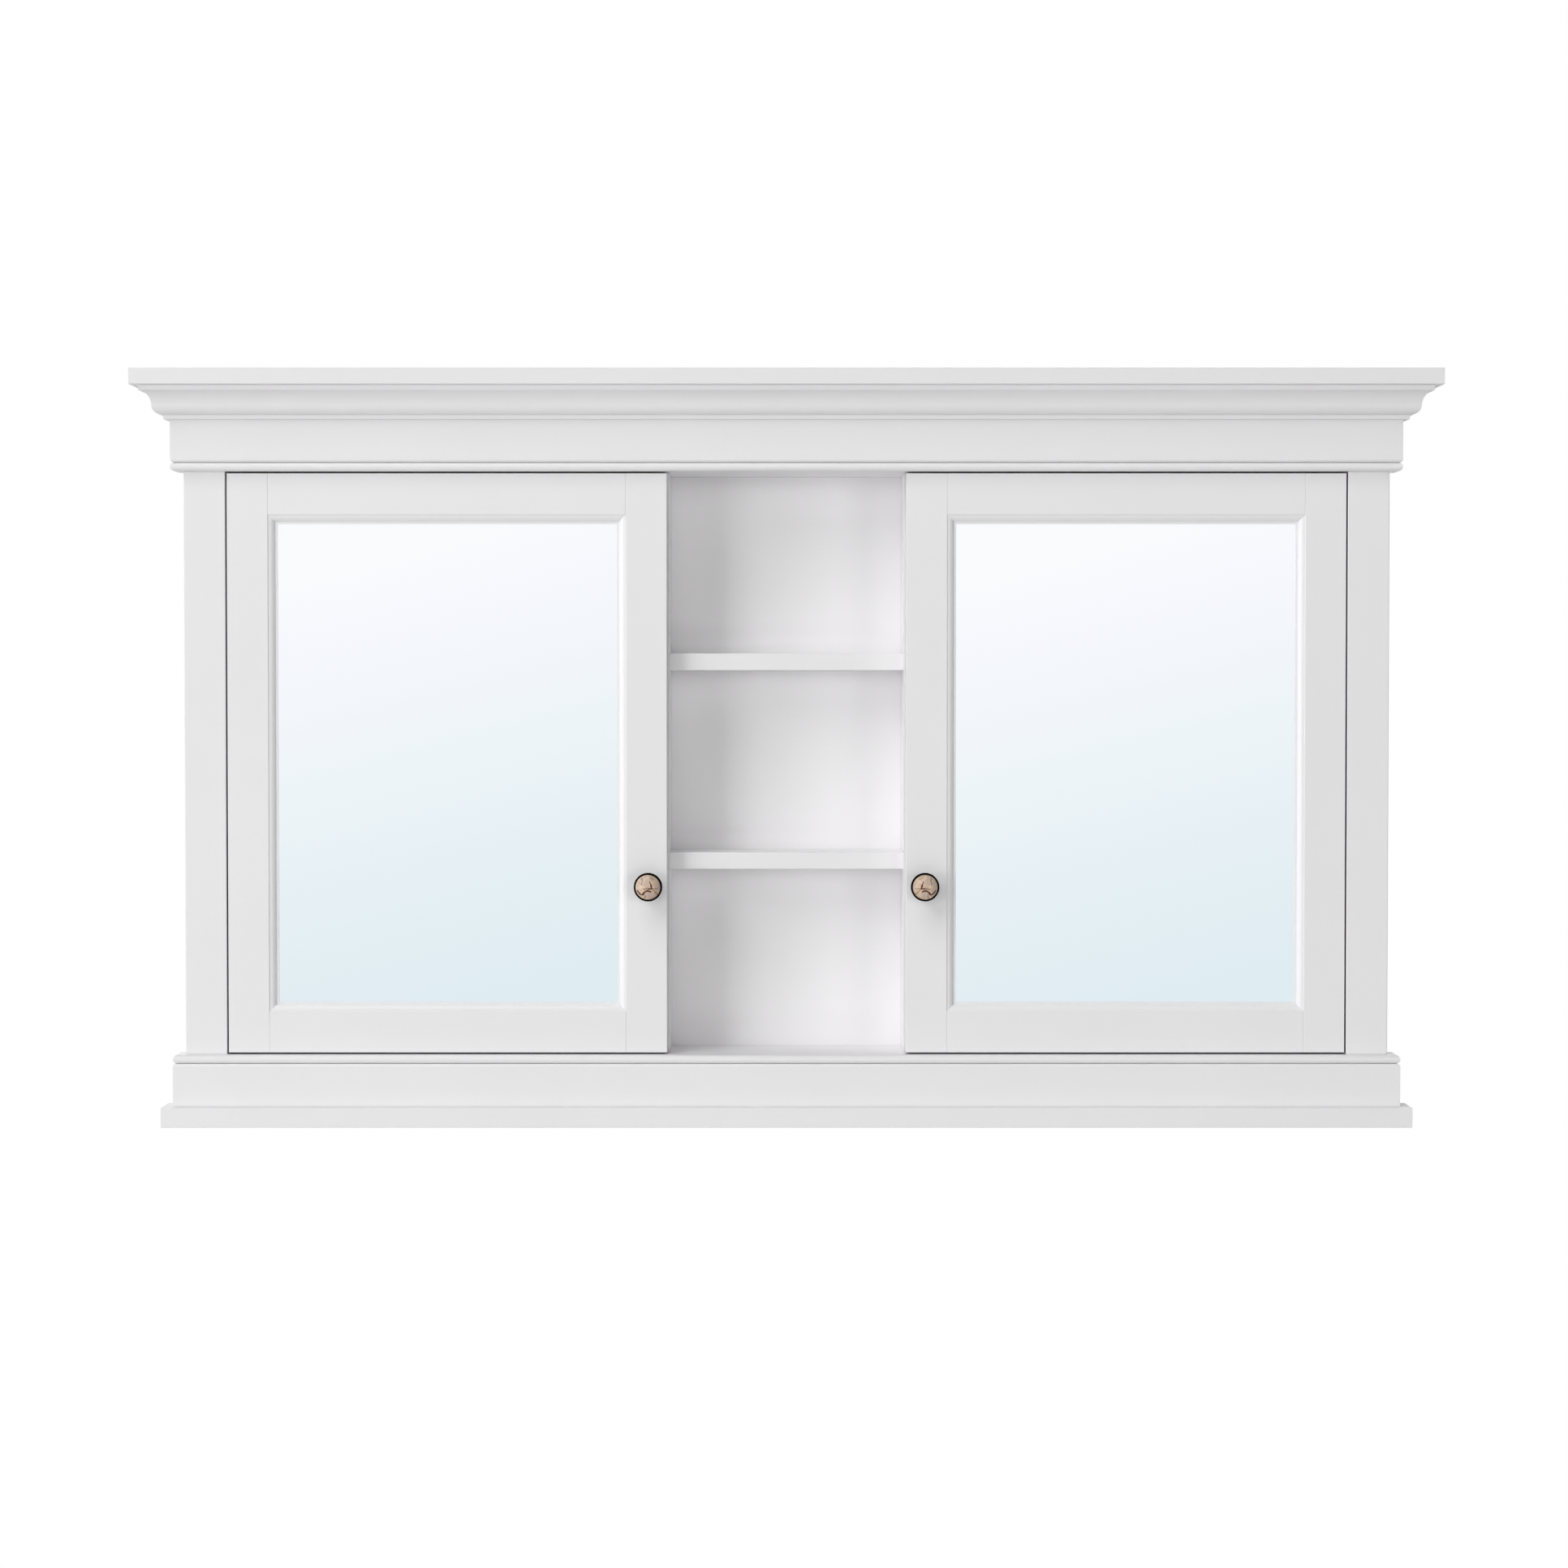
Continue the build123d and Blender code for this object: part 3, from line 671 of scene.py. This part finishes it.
def screwMesh(size, turn, middle):
    head, rise, shank, length = (size[key] / 1000 for key in ("head", "rise", "shank", "length"))
    mesh = bmesh.new()
    # the recess: a small square whose four sides are pushed out into arms
    arm = head * screws["slotHalfWidth"]
    bmesh.ops.create_grid(mesh, x_segments=1, y_segments=1, size=arm)
    sides = mesh.edges[:]
    recess = mesh.faces[:]
    for side in sides:
        away = (side.verts[0].co + side.verts[1].co).normalized()
        grown = bmesh.ops.extrude_edge_only(mesh, edges=[side])["geom"]
        moved = only(bmesh.types.BMVert, grown)
        bmesh.ops.translate(mesh, vec=away * head * screws["slotArm"], verts=moved)
        recess += only(bmesh.types.BMFace, grown)
    outline = openEdges(mesh)
    radius = head * screws["flatTop"]
    ring = bmesh.ops.create_circle(mesh, cap_ends=False, radius=radius, segments=screws["segments"])["verts"]
    rim = [edge for edge in mesh.edges if edge.verts[0] in ring and edge.verts[1] in ring]
    bmesh.ops.bridge_loops(mesh, edges=outline + rim)
    sunk = bmesh.ops.extrude_face_region(mesh, geom=recess)["geom"]
    bmesh.ops.delete(mesh, geom=recess, context="FACES_ONLY")
    bottom = only(bmesh.types.BMVert, sunk)
    bmesh.ops.translate(mesh, vec=(0, 0, -rise * screws["slotDepth"]), verts=bottom)
    bmesh.ops.scale(mesh, vec=(screws["slotTaper"], screws["slotTaper"], 1), verts=bottom)
    # from the rim of the flat top out over the shoulder, under the head and down the shank
    loop = openEdges(mesh)
    for newRadius, drop in (
        (head * 0.93, rise * 0.28), (head, rise * 0.7), (head, rise), (shank, rise),
        (shank, rise + length * 0.8), (shank * 0.2, rise + length),
    ):
        grown = bmesh.ops.extrude_edge_only(mesh, edges=loop)["geom"]
        moved = only(bmesh.types.BMVert, grown)
        for vertex in moved:
            vertex.co.z = -drop
        bmesh.ops.scale(mesh, vec=(newRadius / radius, newRadius / radius, 1), verts=moved)
        radius = newRadius
        loop = only(bmesh.types.BMEdge, grown)
    bmesh.ops.holes_fill(mesh, edges=openEdges(mesh))
    bmesh.ops.recalc_face_normals(mesh, faces=mesh.faces)
    bmesh.ops.translate(mesh, vec=(0, 0, rise), verts=mesh.verts)
    bmesh.ops.transform(mesh, matrix=Matrix.Translation(middle) @ turn, verts=mesh.verts)
    return mesh


def placeScrew(name, size, turn, middle, body, slot):
    piece = finishMesh(name, screwMesh(size, turn, middle), slots[slot], smooth=False)
    bevel = piece.modifiers.new("Eased", "BEVEL")
    bevel.width = screws["easing"]
    bevel.segments = screws["easingSteps"]
    bevel.limit_method = "ANGLE"
    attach(piece, body)


for side, sign in (("left", -1), ("right", 1)):
    inwards = Matrix.Rotation(radians(-90 * sign), 4, "Y")
    for level, height in (("upper", screws["hingeZ"]), ("lower", -screws["hingeZ"])):
        for mark, step in (("a", 1), ("b", -1)):
            cupPlace = Vector((sign * screws["cupX"], screws["cupY"], height + step * screws["cupSpread"]))
            placeScrew(
                f"{side}_{level}_cup_screw_{mark}",
                screws["cup"], towardsWall, cupPlace, side + "_door", "nickel",
            )
            armPlace = Vector((sign * screws["armX"], screws["armY"], height + step * screws["armSpread"]))
            placeScrew(
                f"{side}_{level}_arm_screw_{mark}",
                screws["arm"], inwards, armPlace, "cabinet", "nickel",
            )
    knobPlace = Vector((sign * knob["middle"].x, screws["doorBack"], knob["middle"].z))
    placeScrew(side + "_knob_screw", screws["knob"], towardsWall, knobPlace, side + "_door", "steel")
print("screws placed")


# Steel shelf pins with a collar against the panel, and clear domed bumpers: profiles in millimetres
smallParts = {
    "pinSteps": 20,
    "pin": [
        (0, 0), (2.15, 0), (2.4, 0.25), (2.4, 8.9), (2.45, 9.0), (3.3, 9.02), (3.5, 9.2), (3.5, 9.9),
        (3.3, 10.1), (2.5, 10.15), (2.4, 10.3), (2.4, 15.5), (2.2, 15.9), (1.8, 16), (0, 16),
    ],
    "pinFaces": {"outer": (0.5275, -1), "inner": (0.127, 1)},
    "pinDepth": 0.009,
    "pinColumns": (0.016, 0.0495),
    "pinRows": (-0.091, 0.091),
    "sharpAngle": 35,
    "bumperSteps": 32,
    "bumper": [(0, 0), (3.9, 0), (3.95, 0.3), (3.55, 0.75), (2.6, 1.08), (1.3, 1.2), (0, 1.23)],
    "bumperPlaces": (0.1198, 0.001, 0.2547),
}


def joinMeshes(parts):
    whole = bmesh.new()
    for part in parts:
        data = bpy.data.meshes.new("part")
        part.to_mesh(data)
        part.free()
        whole.from_mesh(data)
        bpy.data.meshes.remove(data)
    return whole


def makeShelfPins():
    pins = []
    for side in (-1, 1):
        for face, inward in smallParts["pinFaces"].values():
            turn = Matrix.Rotation(radians(90 * inward * side), 4, "Y")
            for depth in smallParts["pinColumns"]:
                for height in smallParts["pinRows"]:
                    foot = Vector((side * (face - inward * smallParts["pinDepth"]), depth, height))
                    pins.append(spunMesh(smallParts["pin"], smallParts["pinSteps"], turn, foot))
    piece = finishMesh("shelf_support_pins", joinMeshes(pins), slots["steel"])
    piece.data.set_sharp_from_angle(angle=radians(smallParts["sharpAngle"]))
    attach(piece, "cabinet")
    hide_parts("shelf_pins")


def makeBumpers():
    domes = []
    x, y, z = smallParts["bumperPlaces"]
    for side in (-1, 1):
        for level in (-1, 1):
            foot = Vector((side * x, y, level * z))
            domes.append(spunMesh(smallParts["bumper"], smallParts["bumperSteps"], towardsRoom, foot))
    piece = finishMesh("domed_bumpers", joinMeshes(domes), slots["bumper"])
    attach(piece, "cabinet")
    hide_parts("door_bumpers")


makeShelfPins()
makeBumpers()
print("shelf pins and bumpers turned")


# Each CAD piece takes the paint of its body, and those named here another finish
otherFinishes = {
    "backing_board": "hardboard",
    "hinge_pins": "steel",
    "hinge_cups": "nickel",
    "hinge_links": "nickel",
    "hinge_arms": "nickel",
    "shelf_pins": "steel",
    "door_bumpers": "bumper",
}

for name, node in frame["nodes"].items():
    body = node["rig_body"]
    material = slots["door_paint"] if body.endswith("door") else slots["white_paint"]
    for part, slot in otherFinishes.items():
        if name.endswith(part):
            material = slots[slot]
    material = mirrors.get(name, material)
    node.data.materials.clear()
    node.data.materials.append(material)
print("finishes laid on")


# Studio: a pale floor well below the cabinet, a white surround and soft lamps. A lamp looks at the
# cabinet's middle from so many degrees left of the front, raised so many, and so many metres away.
studio = {
    "floorZ": -1.5,
    "floorSize": 7.0,
    "floorForward": 1.2,
    "floorColour": screenColour(236, 236, 236),
    "floorCloud": screenColour(233, 233, 233),
    "floorGlow": 0.7,
    "roomLight": 0.0,
    "lamps": [
        {"name": "left window", "left": 40, "raised": 0, "away": 9, "size": (3, 3), "power": 141.1},
        {"name": "far left window", "left": 62, "raised": 0, "away": 9, "size": (3, 3), "power": 142.0},
        {"name": "left key", "left": 45, "raised": 30, "away": 9, "size": (3.6, 3), "power": 187.8},
        {"name": "high left", "left": 30, "raised": 55, "away": 9, "size": (3.8, 3.2), "power": 170.1},
        {
            "name": "front fill", "left": 0, "raised": 12, "away": 6,
            "size": (2.4, 2), "power": 39.3, "inMirrors": False,
        },
        {"name": "low front", "left": 0, "raised": -22, "away": 3.2, "size": (2.2, 0.5), "power": 3.1},
        {"name": "right window", "left": -32, "raised": 0, "away": 9, "size": (2.4, 3), "power": 103.8},
        {"name": "back left", "left": 145, "raised": 25, "away": 3.2, "size": (1.6, 1.2), "power": 22},
        {"name": "back right", "left": -145, "raised": 25, "away": 3.2, "size": (1.6, 1.2), "power": 16},
    ],
}


def makeFloor():
    mesh = bmesh.new()
    bmesh.ops.create_grid(mesh, x_segments=1, y_segments=1, size=studio["floorSize"] / 2)
    bmesh.ops.translate(mesh, vec=(0, -studio["floorForward"], studio["floorZ"]), verts=mesh.verts)
    material, tree, shader = newMaterial("studio floor", Roughness=0.9)
    cloud = noise(tree, objectPlace(tree), Scale=2, Detail=3)
    colour = mixColour(tree, cloud, studio["floorColour"], studio["floorCloud"])
    tree.links.new(colour, shader["Base Color"])
    rays = addNode(tree, "ShaderNodeLightPath").outputs
    seen = maths(tree, "MAXIMUM", rays["Is Camera Ray"], rays["Is Glossy Ray"])
    glow = maths(tree, "MULTIPLY", seen, studio["floorGlow"])
    tree.links.new(glow, shader["Emission Strength"])
    finishMesh("studio_floor", mesh, material)


def makeSurround():
    world = bpy.data.worlds.new("white surround")
    scene.world = world
    world.use_nodes = True
    tree = world.node_tree
    rays = addNode(tree, "ShaderNodeLightPath").outputs
    seen = maths(tree, "MAXIMUM", rays["Is Camera Ray"], rays["Is Glossy Ray"])
    seen = maths(tree, "MAXIMUM", seen, rays["Is Transmission Ray"])
    strength = remapped(tree, seen, 0, 1, studio["roomLight"], 1.0)
    background = tree.nodes["Background"]
    background.inputs["Color"].default_value = (1, 1, 1, 1)
    tree.links.new(strength, background.inputs["Strength"])


def hangLamp(values):
    light = bpy.data.lights.new(values["name"], "AREA")
    light.shape = "RECTANGLE"
    light.size, light.size_y = values["size"]
    light.energy = values["power"]
    swung = Matrix.Rotation(radians(-values["left"]), 3, "Z")
    turned = swung @ Matrix.Rotation(radians(-values["raised"]), 3, "X")
    lamp = bpy.data.objects.new(values["name"], light)
    lamp.location = turned @ Vector((0, -values["away"], 0))
    lamp.rotation_euler = (-lamp.location).to_track_quat("-Z", "Y").to_euler()
    lamp.visible_camera = False
    lamp.visible_glossy = values.get("inMirrors", True)
    scene.collection.objects.link(lamp)


makeFloor()
makeSurround()
for lampValues in studio["lamps"]:
    hangLamp(lampValues)
print("studio lit")


view = {"place": (-0.0024, -3.247, 0.064), "tiltDown": 1.478, "lens": 78.76, "sensor": 36, "farthest": 50}
camera = bpy.data.objects.new("camera", bpy.data.cameras.new("camera"))
camera.location = view["place"]
camera.rotation_euler = (radians(90 - view["tiltDown"]), 0, 0)
camera.data.sensor_width = view["sensor"]
camera.data.lens = view["lens"]
camera.data.clip_end = view["farthest"]
scene.collection.objects.link(camera)
scene.camera = camera
print("camera set")

bpy.context.view_layer.update()
